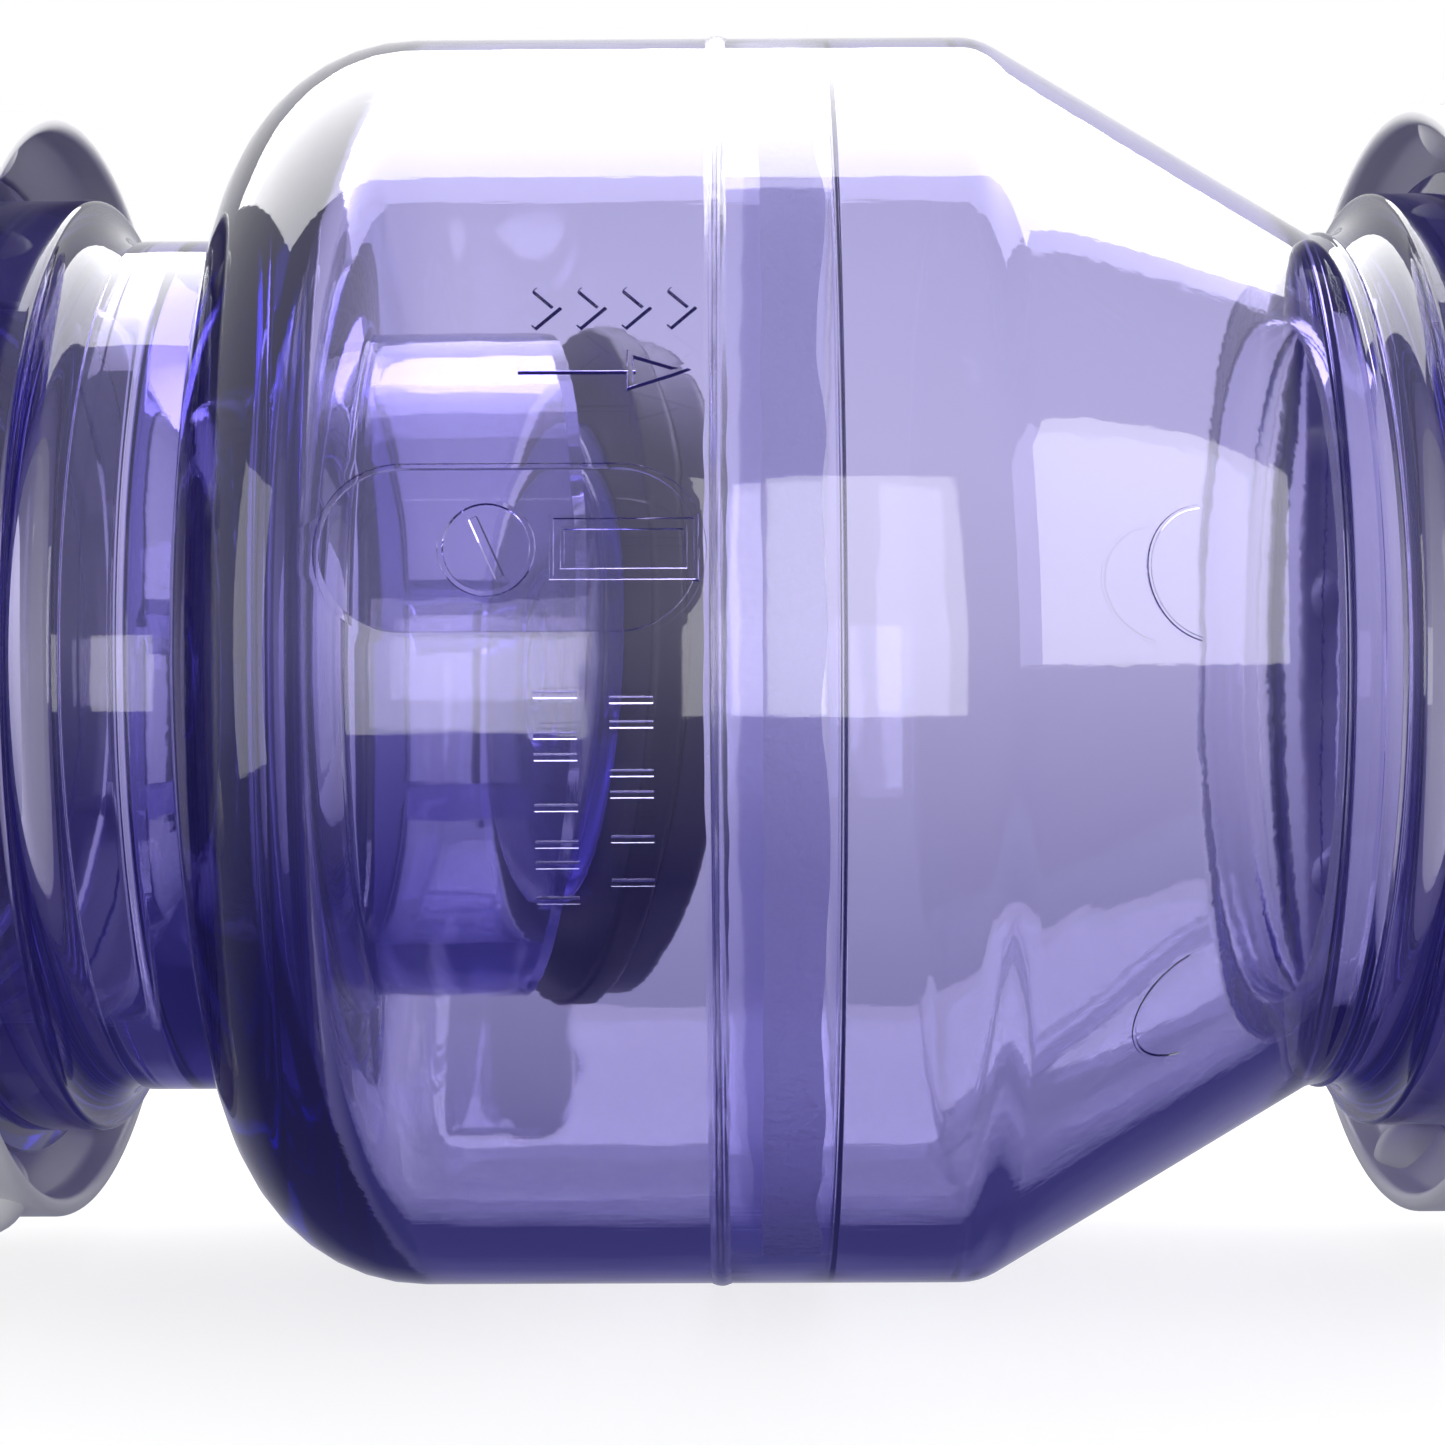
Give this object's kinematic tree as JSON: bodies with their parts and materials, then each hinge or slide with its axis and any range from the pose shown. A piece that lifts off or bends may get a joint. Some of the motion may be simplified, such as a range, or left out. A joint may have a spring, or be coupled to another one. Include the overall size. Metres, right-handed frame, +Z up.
{
  "type": "swing check valve",
  "caption": "Clear plastic swing check valve: a barrel body with a slanted nozzle seat, a hinged rubber-faced flapper, and a ribbed union nut with a solvent socket at each end.",
  "frame": {"origin": "on the flow axis, midway between the two socket mouths", "axes": "+X along the flow, +Z up, the flat pad and the arrow on the -Y side, the flapper's hinge on the +Y side"},
  "size_m": [0.244, 0.1154, 0.1152],
  "materials": {
    "clear_pvc": "clear PVC with a violet-blue tint, glossy as moulded",
    "cement": "set solvent cement, frosted",
    "white_pvc": "white moulded PVC, softly glossy",
    "grey_pvc": "dark grey moulded PVC",
    "pale_pvc": "translucent moulded PVC",
    "black_rubber": "moulded EPDM rubber, satin",
    "pin_steel": "ground stainless steel"
  },
  "bodies": {
    "valve_body": {"inlet_body": "clear_pvc", "outlet_body": "clear_pvc", "cement_film": "cement", "weld_bead": "cement", "hinge_pin": "pin_steel", "pin_clip": "pin_steel", "inlet_o_ring": "black_rubber", "outlet_o_ring": "black_rubber"},
    "flapper": {"flapper_plate": "grey_pvc", "flapper_seal": "black_rubber", "seal_retainer": "pale_pvc"},
    "inlet_tail": {"inlet_tailpiece": "white_pvc"},
    "inlet_union": {"inlet_nut": "white_pvc"},
    "outlet_tail": {"outlet_tailpiece": "white_pvc"},
    "outlet_union": {"outlet_nut": "white_pvc"}
  },
  "joints": [
    {"name": "flapper_swing", "type": "hinge", "parent": "valve_body", "child": "flapper", "pos_m": [-0.02346, 0.03746, -0.00661], "axis": [0, 0.1736, 0.9848], "range_deg": [-4.4, 55.5]},
    {"name": "inlet_union_slide", "type": "slide", "parent": "valve_body", "child": "inlet_tail", "axis": [-1, 0, 0], "range_m": [0, 0.0136]},
    {"name": "inlet_nut_turn", "type": "hinge", "parent": "inlet_tail", "child": "inlet_union", "pos_m": [-0.075, 0, 0], "axis": [-1, 0, 0], "range_deg": [0, 810]},
    {"name": "outlet_union_slide", "type": "slide", "parent": "valve_body", "child": "outlet_tail", "axis": [1, 0, 0], "range_m": [0, 0.0136]},
    {"name": "outlet_nut_turn", "type": "hinge", "parent": "outlet_tail", "child": "outlet_union", "pos_m": [0.075, 0, 0], "axis": [1, 0, 0], "range_deg": [0, 810]}
  ],
  "couplings": [
    {"joint": "inlet_union_slide", "follows": "inlet_nut_turn", "m_per_rad": 0.00095493},
    {"joint": "outlet_union_slide", "follows": "outlet_nut_turn", "m_per_rad": 0.00095493}
  ]
}
